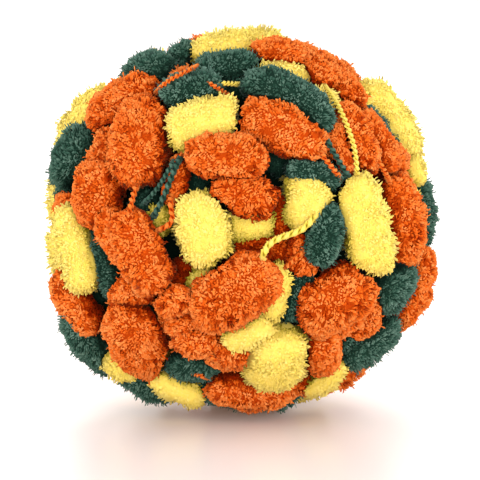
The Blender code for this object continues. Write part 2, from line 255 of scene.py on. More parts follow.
def wrap(out, along, radius, length, across, height=0.0):
    """Turns a length into an angle at a radius from the ball's middle, then steps across and up."""
    angle = length / radius
    way_out = np.cos(angle) * out + np.sin(angle) * along
    return CENTRE + (radius + height) * way_out + across * np.cross(out, along)


def unwrap(lump, points):
    """The reverse of wrap, as shares of half a pompom's length, width and depth."""
    offset = points - CENTRE
    out, along = offset @ lump.out, offset @ lump.along
    radius = middle_radius(lump)
    end = np.arctan2(along, out) * radius / (lump.long / 2)
    side = (offset @ np.cross(lump.out, lump.along) - lump.curl * end**2) / (lump.wide / 2)
    height = (np.hypot(out, along) - radius) / (THICK_TO_WIDE * lump.wide / 2)
    return end, side, height


# %% [markdown]
# ## The rest of the winding
#
# The winder lays a pompom wherever one still fits. The rule tries even spots down the ball, each with
# six turns, and always takes the free place that is closest to the pompoms already there. A first round
# winds the outside, and a second fills the gaps with deeper pompoms.

# %% Free places
Winding = namedtuple("Winding", "long wide sink clear")
OUTER_WINDING = Winding(long=38 * MM, wide=26 * MM, sink=0, clear=0.72)
INNER_WINDING = Winding(long=32 * MM, wide=24 * MM, sink=7 * MM, clear=0.25)
WOUND_SIZES = (0.9, 1.1)
WOUND_SEED = 7
WOUND_PLUMPNESS = 2.7
SPIRAL_SPOTS = 900
TURNS = 6
DYE_SHARES = {ORANGE: 0.46, YELLOW: 0.27, GREEN: 0.27}
FOOT_LONG = 40 * MM
FOOT_WIDE = 28 * MM


def free_places(winding):
    """Even spots on a spiral down the ball: height falls evenly and the compass angle grows by the
    golden angle. Each place has a way out, a way along, and nine points of the outline to keep clear."""
    step = np.arange(SPIRAL_SPOTS)
    up = 1 - 2 * (step + 0.5) / SPIRAL_SPOTS
    ring = np.sqrt(1 - up**2)
    east, north = np.cos(step * GOLDEN_ANGLE), np.sin(step * GOLDEN_ANGLE)
    out = np.tile(np.stack([ring * east, ring * north, up], axis=1), (TURNS, 1))
    level = np.tile(np.stack([-north, east, 0 * up], axis=1), (TURNS, 1))
    turn = np.repeat(np.arange(TURNS) * math.pi / TURNS, SPIRAL_SPOTS)[:, None]
    along = np.cos(turn) * level + np.sin(turn) * np.cross(out, level)
    radius = BALL_RADIUS - winding.sink - THICK_TO_WIDE * winding.wide / 2
    outline = [wrap(out, along, radius, 0, 0)]
    for corner in np.arange(0, 2 * math.pi, math.pi / 4):
        length = math.cos(corner) * winding.clear * winding.long / 2
        across = math.sin(corner) * winding.clear * winding.wide / 2
        outline.append(wrap(out, along, radius, length, across))
    return out, along, np.stack(outline, axis=1)


# %% Wind on the rest
def reach_from(lump, points):
    """The distance of points from a pompom's middle as a share of the way to its outline."""
    end, side, _ = unwrap(lump, points)
    return np.where((points - CENTRE) @ lump.out > 0, np.hypot(end, side), np.inf)


def wind(lumps, winding):
    """Lays pompoms one by one, each in the free place with the least mean reach from the others."""
    chance = np.random.default_rng(WOUND_SEED)
    out, along, outline = free_places(winding)
    reach = np.min([reach_from(lump, outline) for lump in lumps], axis=0)
    made = []
    while (free := np.flatnonzero(reach.min(axis=1) > 1)).size:
        snug = free[np.argmin(reach[free].mean(axis=1))]
        dye = int(chance.choice(list(DYE_SHARES), p=list(DYE_SHARES.values())))
        long, wide = chance.uniform(*WOUND_SIZES, 2) * (winding.long, winding.wide)
        made.append(Lump(dye, out[snug], along[snug], long, wide, winding.sink, 0.0, WOUND_PLUMPNESS))
        reach = np.minimum(reach, reach_from(made[-1], outline))
    return made


lumps = [seen(Pompom(*row)) for row in FRONT_POMPOMS]
lumps += [seen(Pompom(*row), behind=True) for row in RIM_POMPOMS]
foot = Lump(GREEN, np.array((0.0, 0.0, -1.0)), RIGHT, FOOT_LONG, FOOT_WIDE, 0.0, 0.0, WOUND_PLUMPNESS)
lumps.append(foot)
lumps += wind(lumps, OUTER_WINDING)
lumps += wind(lumps, INNER_WINDING)
print(len(lumps), "pompoms in all")

# %% [markdown]
# ## What is filled and what is open
#
# Tufts that nobody can see would only cost time, and a cord needs to know where the pile starts. So
# the ball is cut into small cubes once, and each cube well inside a pompom or the heart is marked.

# %% Mark the filled cubes
CUBE = 1.5 * MM
CUBES = 128
SOLID_BELOW = 0.6
GRID_CORNER = CENTRE - CUBE * CUBES / 2


def fullness(lump, points):
    """The share along the length to the power of the plumpness, plus the distance across, made of the
    shares across and up, to the same power: 0 in the middle, 1 on the skin, more outside."""
    end, side, height = unwrap(lump, points)
    return np.abs(end) ** lump.plump + (side**2 + height**2) ** (lump.plump / 2)


def mark_filled():
    """True for each cube whose middle lies well inside some pompom or in the heart."""
    steps = GRID_CORNER[:, None] + CUBE * (np.arange(CUBES) + 0.5)
    middles = np.stack(np.meshgrid(*steps, indexing="ij"), axis=-1)
    filled = np.linalg.norm(middles - CENTRE, axis=-1) < HEART_RADIUS
    for lump in lumps:
        middle = CENTRE + middle_radius(lump) * lump.out
        reach = lump.long / 2 + abs(lump.curl)
        low = np.clip(((middle - reach - GRID_CORNER) / CUBE).astype(int), 0, CUBES)
        high = np.clip(((middle + reach - GRID_CORNER) / CUBE).astype(int) + 2, 0, CUBES)
        near = tuple(map(slice, low, high))
        filled[near] |= fullness(lump, middles[near]) < SOLID_BELOW
    return filled


filled = mark_filled()


def is_filled(points):
    """Looks up the cube that each point is in."""
    cube = np.clip(((points - GRID_CORNER) / CUBE).astype(int), 0, CUBES - 1)
    return filled[cube[..., 0], cube[..., 1], cube[..., 2]]


print(f"{filled.sum() * (CUBE / 0.1) ** 3:.2f} litres are filled")

# %% [markdown]
# ## Meshes from whole arrays
#
# Everything here is built from rings: a body, a tuft and a ply are all tubes that end in two points.
# The rings are worked out as whole arrays, joined by triangles, and poured into a mesh in one go. Each
# vertex also carries two numbers in a map on the mesh, which the dyes read: its tuft's tone, and its
# painted light, a share of the dye's ramp that is low at the pile's root and in shaded places and high
# at its open tips. It carries the way it faces too, since light treats a soft tuft partly as a bit of
# the pompom's skin.

# %% Rings to triangles
PILE_MAP = "OFBake"


def turns_round(sides):
    """Even turns round a circle."""
    return np.arange(sides) * 2 * math.pi / sides


def rings_and_poles(rings, sides):
    """Angles up and turns for every vertex of a round: its rings from end to end, then its two poles."""
    angle = np.linspace(-math.pi / 2, math.pi / 2, rings + 2)
    angle = np.concatenate([np.repeat(angle[1:-1], sides), angle[[0, -1]]])
    return angle, np.concatenate([np.tile(turns_round(sides), rings), (0.0, 0.0)])


def closed_tube(rings, sides):
    """Triangles of a tube whose vertices are its rings, then the point below and the point above. They
    face outwards when each ring runs anticlockwise as seen from above."""
    here = np.arange(sides)
    after = (here + 1) % sides
    ring = sides * np.arange(rings - 1)[:, None]
    low = np.stack([ring + here, ring + after, ring + sides + after], axis=-1)
    high = np.stack([ring + here, ring + sides + after, ring + sides + here], axis=-1)
    last, below = sides * (rings - 1), np.full(sides, sides * rings)
    foot = np.stack([below, after, here], axis=-1)
    top = np.stack([last + here, last + after, below + 1], axis=-1)
    return np.concatenate([low.reshape(-1, 3), high.reshape(-1, 3), foot, top])


# %% Arrays to a mesh
class Pieces:
    """Collects vertices, triangles, facings and map numbers until they become one mesh."""

    def __init__(self):
        self.points, self.triangles, self.facings, self.numbers, self.count = [], [], [], [], 0

    def add(self, points, triangles, facing, tone, share):
        """Takes many alike shapes at once: points and facing are shape by vertex by 3, and triangles is
        for one shape."""
        shapes, vertices = points.shape[:2]
        starts = self.count + vertices * np.arange(shapes)
        self.points.append(points.reshape(-1, 3))
        self.facings.append(unit(facing.reshape(-1, 3)))
        self.triangles.append((triangles[None] + starts[:, None, None]).reshape(-1, 3))
        tone = np.broadcast_to(tone, (shapes, vertices))
        share = np.broadcast_to(share, (shapes, vertices))
        self.numbers.append(np.stack([tone, share], axis=-1).reshape(-1, 2))
        self.count += shapes * vertices

    def make(self, name, finish, slot):
        """Pours the arrays into a mesh, hands it over as a piece of the ball, and counts its triangles."""
        points = np.concatenate(self.points)
        triangles = np.concatenate(self.triangles)
        numbers = np.concatenate(self.numbers)
        mesh = bpy.data.meshes.new(name)
        mesh.vertices.add(len(points))
        mesh.vertices.foreach_set("co", points.astype(np.float32).ravel())
        mesh.loops.add(triangles.size)
        mesh.loops.foreach_set("vertex_index", triangles.astype(np.int32).ravel())
        mesh.polygons.add(len(triangles))
        mesh.polygons.foreach_set("loop_start", np.arange(0, triangles.size, 3, dtype=np.int32))
        mesh.update(calc_edges=True)
        mesh.shade_smooth()
        facings = mesh.attributes.new("custom_normal", "FLOAT_VECTOR", "POINT")
        facings.data.foreach_set("vector", np.concatenate(self.facings).astype(np.float32).ravel())
        pile_map = mesh.uv_layers.new(name=PILE_MAP)
        pile_map.uv.foreach_set("vector", numbers[triangles.ravel()].astype(np.float32).ravel())
        mesh.materials.append(finish)
        piece = new_object(name, mesh)
        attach(piece, "root")
        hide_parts("pompom_yarn_ball")
        print(f"{name}: {len(triangles)} triangles")
        return len(triangles)


# %% [markdown]
# ## The dyes and their painted shade
#
# Each tuft is painted lightest at its tip, where the light reaches it, and in deep painted shade at its
# root. Where pompoms press on each other, and down in the hollow, the pile is painted nearly black: painted
# shade, in the deep colour that light takes on after going through many fibres. The tufts also took the dye
# unevenly. So each dye is two ramps from the deepest painted shade to the lit open tips, for a dark tuft
# and for a pale one, and the tuft's tone mixes them. The pile is dull, with the soft pale edge of a fluffy
# thing: its sheen.

# %% The dyes' colours and their painted shade
Dye = namedtuple("Dye", "dark pale sheen edge")
# stops from the deepest painted shade to the lit tip: the low stops are painted shade, the last is the dye
# in full light
RAMP_STOPS = (0.0, 0.3, 0.6, 1.0)
DYES_WITH_PAINTED_SHADE = {
    ORANGE: Dye(
        dark=((0.030, 0.002, 0.0005), (0.22, 0.012, 0.0005), (0.55, 0.072, 0.004), (0.65, 0.158, 0.022)),
        pale=((0.050, 0.003, 0.0005), (0.30, 0.021, 0.0005), (0.65, 0.120, 0.011), (0.77, 0.275, 0.078)),
        sheen=0.12,
        edge=(1.0, 0.45, 0.20),
    ),
    YELLOW: Dye(
        dark=((0.050, 0.030, 0.002), (0.30, 0.23, 0.014), (0.76, 0.55, 0.075), (0.77, 0.57, 0.100)),
        pale=((0.070, 0.044, 0.002), (0.38, 0.30, 0.022), (0.79, 0.60, 0.115), (0.80, 0.62, 0.170)),
        sheen=0.08,
        edge=(1.0, 0.92, 0.5),
    ),
    GREEN: Dye(
        dark=((0.001, 0.003, 0.002), (0.004, 0.013, 0.008), (0.013, 0.042, 0.027), (0.033, 0.090, 0.062)),
        pale=((0.002, 0.005, 0.003), (0.007, 0.021, 0.014), (0.038, 0.092, 0.064), (0.155, 0.245, 0.190)),
        sheen=0.12,
        edge=(0.55, 0.80, 0.72),
    ),
}


# %% Make the dyes
def new_finish(name, settings):
    """A material whose shader has some of its inputs set."""
    finish = bpy.data.materials.new(name)
    finish.use_nodes = True
    for socket, value in settings.items():
        finish.node_tree.nodes["Principled BSDF"].inputs[socket].default_value = value
    return finish


def dye_ramp(nodes, colours):
    """A colour ramp from the deepest painted shade to the lit open tips."""
    ramp = nodes.new("ShaderNodeValToRGB")
    elements = ramp.color_ramp.elements
    for stop in RAMP_STOPS[1:-1]:
        elements.new(stop)
    for element, stop, colour in zip(elements, RAMP_STOPS, colours):
        element.position = stop
        element.color = (*colour, 1.0)
    return ramp


def make_dye_with_painted_shade(name, dye):
    """Reads tone and the share of painted light from the pile's map, and mixes the dark and the pale ramp
    by tone.
    """
    sheen = {"Sheen Weight": dye.sheen, "Sheen Roughness": 0.4, "Sheen Tint": (*dye.edge, 1.0)}
    finish = new_finish(name, {"Roughness": 0.9, "Specular IOR Level": 0.0, **sheen})
    nodes, links = finish.node_tree.nodes, finish.node_tree.links
    pile_map = nodes.new("ShaderNodeUVMap")
    pile_map.uv_map = PILE_MAP
    parts = nodes.new("ShaderNodeSeparateXYZ")
    links.new(pile_map.outputs["UV"], parts.inputs["Vector"])
    mix = nodes.new("ShaderNodeMix")
    mix.data_type = "RGBA"
    links.new(parts.outputs["X"], mix.inputs["Factor"])
    for socket, colours in (("A", dye.dark), ("B", dye.pale)):
        ramp = dye_ramp(nodes, colours)
        links.new(parts.outputs["Y"], ramp.inputs["Fac"])
        mix_input = [i for i in mix.inputs if i.name == socket and i.type == "RGBA"][0]
        links.new(ramp.outputs["Color"], mix_input)
    mixed = [o for o in mix.outputs if o.type == "RGBA"][0]
    links.new(mixed, nodes["Principled BSDF"].inputs["Base Color"])
    return finish


finishes = {dye: make_dye_with_painted_shade(f"{DYE_NAMES[dye]}_dye_and_painted_shade", DYES_WITH_PAINTED_SHADE[dye]) for dye in DYES_WITH_PAINTED_SHADE}
print("dyes:", ", ".join(finish.name for finish in finishes.values()))

# %% [markdown]
# ## A pompom's skin
#
# The tufts' tips end on the pompom's skin, the plump bean that the solid has. Its outline from one end
# to the other is a curve with a girth for every place along. The tufts are spread evenly over it:
# the area up to each place is summed once, and each tuft takes the next equal share of it, while it
# turns on by the golden angle, as seeds do in a sunflower.

# %% Even spots on the skin
OUTLINE_STEPS = 200
OUT_OF_STEP = (0.1, 0.9)
OUT_OF_LINE = 0.2


def bean(angle, plump):
    """Place along and girth: an angle's sine and cosine, each to the power of two over the plumpness."""
    end = np.sign(angle) * np.abs(np.sin(angle)) ** (2 / plump)
    return end, np.abs(np.cos(angle)) ** (2 / plump)


def outline_of(lump):
    """The bean's outline at even steps of its angle, with the area up to each step."""
    end, girth = bean(np.linspace(-math.pi / 2, math.pi / 2, OUTLINE_STEPS), lump.plump)
    half_long, half_wide = lump.long / 2, lump.wide / 2 * (1 + THICK_TO_WIDE) / 2
    step = np.hypot(np.diff(end) * half_long, np.diff(girth) * half_wide)
    belt = 2 * math.pi * half_wide * (girth[1:] + girth[:-1]) / 2 * step
    area = np.concatenate([[0], np.cumsum(belt)])
    return end, girth, area


def skin(lump, end, girth, turn):
    """The spot at a place along, a girth and a turn, and the way out of the skin there, in which the
    fullness grows fastest."""
    half_long, half_wide = lump.long / 2, lump.wide / 2
    half_thick = THICK_TO_WIDE * half_wide
    radius = middle_radius(lump)
    across = girth * np.cos(turn) * half_wide + lump.curl * end**2
    height = girth * np.sin(turn) * half_thick
    angle = (end * half_long / radius)[:, None]
    spot = wrap(lump.out, lump.along, radius, (end * half_long)[:, None], across[:, None], height[:, None])
    power = lump.plump - 1
    slope_side = girth**power * np.cos(turn) / half_wide
    slope_up = girth**power * np.sin(turn) / half_thick
    slope_end = np.sign(end) * np.abs(end) ** power / half_long
    slope_end = (slope_end - slope_side * 2 * lump.curl * end / half_long) / (1 + height / radius)
    way_out = np.cos(angle) * lump.out + np.sin(angle) * lump.along
    way_on = np.cos(angle) * lump.along - np.sin(angle) * lump.out
    way = slope_end[:, None] * way_on + slope_up[:, None] * way_out
    return spot, unit(way + slope_side[:, None] * np.cross(lump.out, lump.along))


def across_of(way):
    """Two directions at right angles to each way and to each other."""
    helper = np.where(np.abs(way[:, 2:]) < 0.8, (0.0, 0.0, 1.0), (1.0, 0.0, 0.0))
    first = unit(np.cross(way, helper))
    return first, np.cross(way, first)


def even_spots(lump, spacing, chance):
    """Spots about one spacing apart all over the skin, pushed a little aside, so that no rows show."""
    end, girth, area = outline_of(lump)
    count = int(area[-1] / spacing**2)
    share = (np.arange(count) + chance.uniform(*OUT_OF_STEP, count)) / count * area[-1]
    turn = np.arange(count) * GOLDEN_ANGLE + chance.uniform(0, 2 * math.pi)
    spot, way = skin(lump, np.interp(share, area, end), np.interp(share, area, girth), turn)
    first, second = across_of(way)
    push = chance.normal(0, OUT_OF_LINE * spacing, (2, count, 1))
    return spot + push[0] * first + push[1] * second, way


# %% [markdown]
# ## The soft body of a pompom
#
# Between the tufts one looks into the pompom, where the pile is too thick to see through. That is the
# body: the same bean a few millimetres smaller, a little lumpy, and painted in the root's deep shade.

# %% Body
SWELL = 0.8 * MM
BROAD_WAVE = 17 * MM
SHORT_WAVE = 8 * MM
CLEFT_APART = 12 * MM
CLEFT_WIDE = 0.33
CLEFT_DEPTHS = {ORANGE: 2.2 * MM, YELLOW: 0.6 * MM, GREEN: 0.4 * MM}
# how much painted shade the clefts get, for each dye
CLEFT_SHADES = {ORANGE: 0.8, YELLOW: 0.15, GREEN: 0.2}
BODY_SHADE = 0.75
BODY_RINGS = 9
BODY_SIDES = 14
# which way each wave goes, how much the seed shifts it, and where it starts
WAVES = (((1.0, 0.6, 0.2), 1.0, 0), ((-0.4, 1.0, 0.7), 1.7, 1), ((0.3, -0.5, 1.0), 2.3, 2))
WAVES_PEAK = 1.6


def lumpy(points, size, seed=0.0):
    """A smooth unevenness between about -1 and 1: three waves that cross, size apart, multiplied two by
    two and added up."""
    wave = 2 * math.pi / size
    first, second, third = [
        np.sin(wave * (points @ unit(np.array(way))) + seeds * seed + start) for way, seeds, start in WAVES
    ]
    return (first * second + second * third + third * first) / WAVES_PEAK


def cleft(points, number):
    """Narrow valleys where the pile parts, from 0 to 1: deepest where a wave crosses nought, and only
    where a broader wave is high."""
    line = np.clip(1 - np.abs(lumpy(points, CLEFT_APART, 3 * number)) / CLEFT_WIDE, 0, 1)
    return line * np.clip(0.5 + 2 * lumpy(points, 2 * CLEFT_APART, number), 0, 1)


def swell(points, number):
    """How far a pompom bulges beyond its bean: a broad wave and half a short one, less the clefts."""
    waves = lumpy(points, BROAD_WAVE, number) + lumpy(points, SHORT_WAVE, 2 * number) / 2
    return SWELL * waves - CLEFT_DEPTHS[lumps[number].dye] * cleft(points, number)


def body_of(lump, number, depth):
    """The skin's rings and its two ends, moved inwards by a depth and some unevenness."""
    angle, turn = rings_and_poles(BODY_RINGS, BODY_SIDES)
    spot, way = skin(lump, *bean(angle, lump.plump), turn)
    return spot - way * (depth - swell(spot, number))[:, None], way


BODY_TRIANGLES = closed_tube(BODY_RINGS, BODY_SIDES)
print(len(BODY_TRIANGLES), "triangles a body")

# %% [markdown]
# ## How open a place is
#
# Where a place on the skin can look out freely, the pile is painted bright. In a crease or down in the
# hollow it gets painted shade, and where it can't look out at all, no tuft is needed. Both are found in one
# way: short lines go out from the place, and those that meet no filled cube are counted.

# %% Look out from the skin
LOOK_OUT_STEPS = np.array((4, 7, 11, 16, 22, 30, 40)) * MM
RINGS_OF_WAYS = ((0.0, 1), (0.7, 5), (1.9, 6))
# painted light: its least share, the openness where painted shade is full and where it ends, and the depth
# where painted shade sets in and deepens
LEAST_LIGHT = 0.1
CLOSED_IN = 0.15
OPEN_ENOUGH = 0.8
NEAR_OUTLINE = 8 * MM
FADE_DEPTH = 24 * MM


def openness(spots, around):
    """The share of straight ways out that meet no filled cube. One goes along the middle direction, and
    two rings of them lean away from it by a slope each."""
    first, second = across_of(around)
    clear, count = np.zeros(len(spots)), 0
    for slope, number in RINGS_OF_WAYS:
        for turn in turns_round(number):
            way = unit(around + slope * (math.cos(turn) * first + math.sin(turn) * second))
            looked = spots[:, None] + LOOK_OUT_STEPS[:, None] * way[:, None]
            clear += ~is_filled(looked).any(axis=1)
            count += 1
    return clear / count


def light_share(spots, way, mingled=0.0):
    """How much painted light a place gets, as a share of a dye's ramp: all where it is open, painted shade
    where it is closed in, and more painted shade the deeper it lies. Where piles of one dye mingle, the
    crease between them gets hardly any painted shade."""
    depth = BALL_RADIUS - np.linalg.norm(spots - CENTRE, axis=1)
    sunk = np.clip(1 - (depth - NEAR_OUTLINE) / FADE_DEPTH, 0, 1)
    free = np.clip((openness(spots, way) - CLOSED_IN) / (OPEN_ENOUGH - CLOSED_IN), 0, 1)
    return LEAST_LIGHT + (1 - LEAST_LIGHT) * np.maximum(free, mingled) * sunk


# %% [markdown]
# ## The pile
#
# A real pompom has thousands of fine fibres that stick together in tufts. Hair curves would need a
# renderer for hair. Here each tuft is a small closed tube that rises from the body and curls over, so
# that one looks onto its side as a short blunt grain. The tufts of a clump lean about one way, are drawn
# towards its middle and dip together, and on a pompom's top they also comb outwards. A few thin ones
# stray out of the pile. The orange is coarse, the green is finer, and the yellow is so soft that its
# tufts hardly show.
#
# Pompoms that touch press each other's pile in. Where both have one dye and lie at about one height,
# their piles mingle instead, and the crease between them gets little painted shade, so it stays nearly as
# bright as the rest.

# %% The three piles
Pile = namedtuple(
    "Pile", "spacing thick ring_at lean radiate gather clump uneven sunk smooth stray body_depth body_share"
)
# sunk is how much painted shade a dipping tuft gets; body_share is the body's share of the ramp, which is
# painted shade
PILES = {
    ORANGE: Pile(
        spacing=1.14 * MM, thick=0.60 * MM, ring_at=0.74, lean=2.3 * MM, radiate=0.5, gather=0.12, clump=6,
        uneven=0.5 * MM, sunk=0.5, smooth=0.4, stray=0.05, body_depth=2.3 * MM, body_share=0.42,
    ),
    YELLOW: Pile(
        spacing=1.24 * MM, thick=0.70 * MM, ring_at=0.72, lean=1.2 * MM, radiate=1.2, gather=0.2, clump=8,
        uneven=0.45 * MM, sunk=0.12, smooth=0.75, stray=0.3, body_depth=1.7 * MM, body_share=0.85,
    ),
    GREEN: Pile(
        spacing=1.05 * MM, thick=0.44 * MM, ring_at=0.66, lean=1.1 * MM, radiate=0.3, gather=0.3, clump=6,
        uneven=0.4 * MM, sunk=0.4, smooth=0.4, stray=0.15, body_depth=2.2 * MM, body_share=0.4,
    ),
}
PILE_SEED = 20
SEEN_FROM = 0.2
SAME_SKIN = 0.72
PRESSED_FROM = 1.7
PRESS = 1.6 * MM
MINGLE = 0.25
MINGLED_LIGHT = 0.85
ONE_HEIGHT = 9 * MM


def nearness(spots, neighbours, lump):
    """The least fullness of any neighbour at each spot, how far the pile is pressed in there, and how
    much it mingles with a neighbour of its own dye at about its height, which presses it less; the
    mingling is handed on as painted light that lifts the crease's painted shade."""
    nearest = np.full(len(spots), PRESSED_FROM)
    mingled = np.zeros(len(spots))
    for other in neighbours:
        full = fullness(other, spots)
        if other.dye == lump.dye and abs(other.sink - lump.sink) < ONE_HEIGHT:
            mingled = np.maximum(mingled, np.clip((PRESSED_FROM - full) / (PRESSED_FROM - 1), 0, 1))
            full = full + MINGLE
        nearest = np.minimum(nearest, full)
    pressed = PRESS * ((PRESSED_FROM - nearest) / (PRESSED_FROM - SAME_SKIN)) ** 2
    return nearest, pressed, MINGLED_LIGHT * mingled


# %% Clumps, combing and curl
PILE_SIDES = 3
TUFT_TRIANGLES = closed_tube(1, PILE_SIDES)
ROOT_DEPTH = 3.6 * MM
TIP_DEPTH = 0.5 * MM
CURL_OVER = math.radians(80)
OWN_TURN = 0.7
LEANS = (0.4, 1.3)
OWN_DIP = 0.5
ROUGHNESS = (0.6, 1.5)
LEAST_THICK = 0.7
MORE_THICK = 0.9
STRAY_THICK = 0.6
STRAY_REACH = 2.0 * MM
STRAY_SHARES = (0.3, 1)
BLUNT_TIP = 0.4
FLOOR_GAP = 0.2 * MM
ROOT_SHARE = 0.55
OWN_TONE = 0.2
CLUMP_TONE = 0.12
PATCH_SIZE = 37 * MM
POMPOM_TONE = 0.08
TONE_LIMITS = (0.03, 0.97)
TONE_SPREAD = 0.02


def in_clumps(spot, size, chance):
    """Seeds by chance, one for so many spots, and the number of the nearest seed for each spot."""
    seeds = chance.choice(len(spot), max(1, len(spot) // size), replace=False)
    gap = spot[:, None] - spot[seeds][None]
    return seeds, np.argmin(np.einsum("ijk,ijk->ij", gap, gap), axis=1)


def combed(lump, radiate, spot, way, clump_turn, own_turn):
    """The side that each tuft leans to: by its clump's turn and its own, and away from the pompom's top
    where the skin faces up."""
    first, second = across_of(way)
    turn = (clump_turn + own_turn)[:, None]
    side = np.cos(turn) * first + np.sin(turn) * second
    from_top = spot - CENTRE - (middle_radius(lump) + lump.wide / 2) * lump.out
    from_top -= np.sum(from_top * way, axis=1, keepdims=True) * way
    return unit(side + radiate * np.clip(way @ lump.out, 0, 1)[:, None] * unit(from_top))


def curled(share, root, rise, lean, gather):
    """The place at a share of the way up the tufts, and the way on from there. The middle line rises
    from the root by the sine of an angle and leans over by one minus the cosine."""
    angle = share * CURL_OVER
    place = root + math.sin(angle) * rise + (1 - math.cos(angle)) * lean + share * gather
    return place, math.cos(angle) * rise + math.sin(angle) * lean


# %% Grow the tufts
def tufts_on(number, neighbours):
    """A pompom's tufts, or nothing where none is seen. One ring stands across each tuft, and its tube
    closes in the root and the tip."""
    lump, pile = lumps[number], PILES[lumps[number].dye]
    chance = np.random.default_rng(PILE_SEED + number)
    spot, way = even_spots(lump, pile.spacing, chance)
    nearest, pressed, mingled = nearness(spot - way * TIP_DEPTH, neighbours, lump)
    free = nearest > SAME_SKIN
    seen_from = np.where(mingled > 0, SEEN_FROM / 2, SEEN_FROM)
    free[free] = openness(spot[free], unit(spot[free] - CENTRE)) > seen_from[free]
    spot, way, pressed, mingled = spot[free], way[free], pressed[free], mingled[free]
    count = len(spot)
    if count == 0:
        return None
    # the place's painted light, with painted shade in the clefts
    light = light_share(spot, way, mingled) * (1 - CLEFT_SHADES[lump.dye] * cleft(spot, number))
    seeds, clump = in_clumps(spot, pile.clump, chance)
    clump_turn = chance.uniform(0, 2 * math.pi, len(seeds))[clump]
    side = combed(lump, pile.radiate, spot, way, clump_turn, OWN_TURN * chance.normal(size=count))
    lean = side * pile.lean * chance.uniform(*LEANS, (count, 1))
    rough = chance.uniform(*ROUGHNESS)
    dip = OWN_DIP * np.abs(chance.normal(size=count)) + np.maximum(chance.normal(size=len(seeds)), 0)[clump]
    # painted shade on tufts that dip below their clump
    light *= 1 - pile.sunk * np.clip(dip / 2, 0, 1)
    stray = chance.random(count) < pile.stray
    reach = stray * chance.uniform(*STRAY_SHARES, count) * STRAY_REACH
    rise = way * (ROOT_DEPTH - (TIP_DEPTH + dip * pile.uneven * rough - reach + pressed))[:, None]
    root = spot - way * (ROOT_DEPTH - swell(spot, number))[:, None] - lean / 2
    gather = pile.gather * (spot[seeds][clump] - spot)
    thick = pile.thick * (LEAST_THICK + MORE_THICK * chance.random(count) ** 2)
    thick *= np.where(stray, STRAY_THICK, 1)
    turn = (chance.uniform(0, 2 * math.pi, (count, 1)) + turns_round(PILE_SIDES))[..., None]
    middle, ahead = curled(pile.ring_at, root, rise, lean, gather)
    across = np.cross(side, way)
    ring = np.cos(turn) * across[:, None] + np.sin(turn) * unit(np.cross(ahead, across))[:, None]
    tip, ahead = curled(1, root, rise, lean, gather)
    tip += unit(ahead) * (BLUNT_TIP * thick)[:, None]
    points = [middle[:, None] + ring * thick[:, None, None], root[:, None], tip[:, None]]
    points = np.concatenate(points, axis=1)
    points[..., 2] = np.maximum(points[..., 2], FLOOR_GAP * chance.uniform(1, 3, (count, 1)))
    facing = [pile.smooth * way[:, None] + (1 - pile.smooth) * ring, way[:, None]]
    facing = np.concatenate([*facing, (way + unit(ahead) / 2)[:, None]], axis=1)
    tone = 0.5 + OWN_TONE * chance.normal(size=count) + CLUMP_TONE * chance.normal(size=len(seeds))[clump]
    tone += CLUMP_TONE * lumpy(spot, PATCH_SIZE) + POMPOM_TONE * chance.normal()
    tone = np.clip(tone, *TONE_LIMITS)[:, None] + np.linspace(-1, 1, points.shape[1]) * TONE_SPREAD
    # painted shade inside the pile: the root gets a lower share of the ramp than the ring and the tip, all
    # scaled by the place's painted light
    share = np.append(np.full(PILE_SIDES, pile.ring_at), (0.0, 1.0))
    share = light[:, None] * (ROOT_SHARE + (1 - ROOT_SHARE) * share)
    return points, TUFT_TRIANGLES, facing, tone, share


# %% [markdown]
# ## The pompoms
#
# All pompoms of one dye on one side of the ball make one piece. A piece holds up to two hundred thousand
# triangles, so the orange ones, which cover nearly half of the ball, come in four quarters.

# %% Make the pompoms
NEIGHBOUR_REACH = 60 * MM
BODY_LIFT = 1.5 * MM
BODY_TONE = 0.3
BODY_TONE_SPREAD = 0.1


def side_of(lump):
    """The part of the ball that a pompom's piece covers."""
    side = "front" if lump.out[1] < 0 else "back"
    if lump.dye == ORANGE:
        side += "_left" if lump.out[0] < 0 else "_right"
    return side


middles = np.array([CENTRE + middle_radius(lump) * lump.out for lump in lumps])
piles = {}
for number, lump in enumerate(lumps):
    name = f"{DYE_NAMES[lump.dye]}_pompoms_{side_of(lump)}"
    pieces = piles.setdefault(name, Pieces())
    near = np.linalg.norm(middles - middles[number], axis=1) < NEIGHBOUR_REACH
    neighbours = [lumps[i] for i in np.flatnonzero(near) if i != number]
    pile = PILES[lump.dye]
    body, way = body_of(lump, number, pile.body_depth)
    pressed = nearness(body + way * pile.body_depth, neighbours, lump)[1]
    body -= way * np.minimum(pressed, PRESS)[:, None]
    body[:, 2] = np.maximum(body[:, 2], BODY_LIFT)
    tone = BODY_TONE + BODY_TONE_SPREAD * (math.sin(7 * number) + np.linspace(-1, 1, len(body)))
    # the body gets painted shade: a low share of the ramp, lower still where it is closed in
    share = pile.body_share * (BODY_SHADE + (1 - BODY_SHADE) * light_share(body, way))
    pieces.add(body[None], BODY_TRIANGLES, way[None], tone, share)
    tufts = tufts_on(number, neighbours)
    if tufts is not None:
        pieces.add(*tufts)
total = 0
for name, pieces in sorted(piles.items()):
    dye = DYE_NAMES.index(name.split("_")[0])
    total += pieces.make(name, finishes[dye], f"{DYE_NAMES[dye]}_pile")
print("pompoms:", total, "triangles")

# %% [markdown]
# ## The heart
#
# Deep between the pompoms one looks onto the inner turns of the winding, which lie in deep shade. A lumpy
# round stands for them, painted nearly black with the deepest shade of the green ramp.

# %% Heart
HEART_RINGS = 40
HEART_SIDES = 80
HEART_DEPTH = 5 * MM
HEART_SWELL = 2 * MM
HEART_LUMPS = 22 * MM
HEART_PAINTED_SHADE = 0.02
HEART_TONES = (0.1, 0.4)


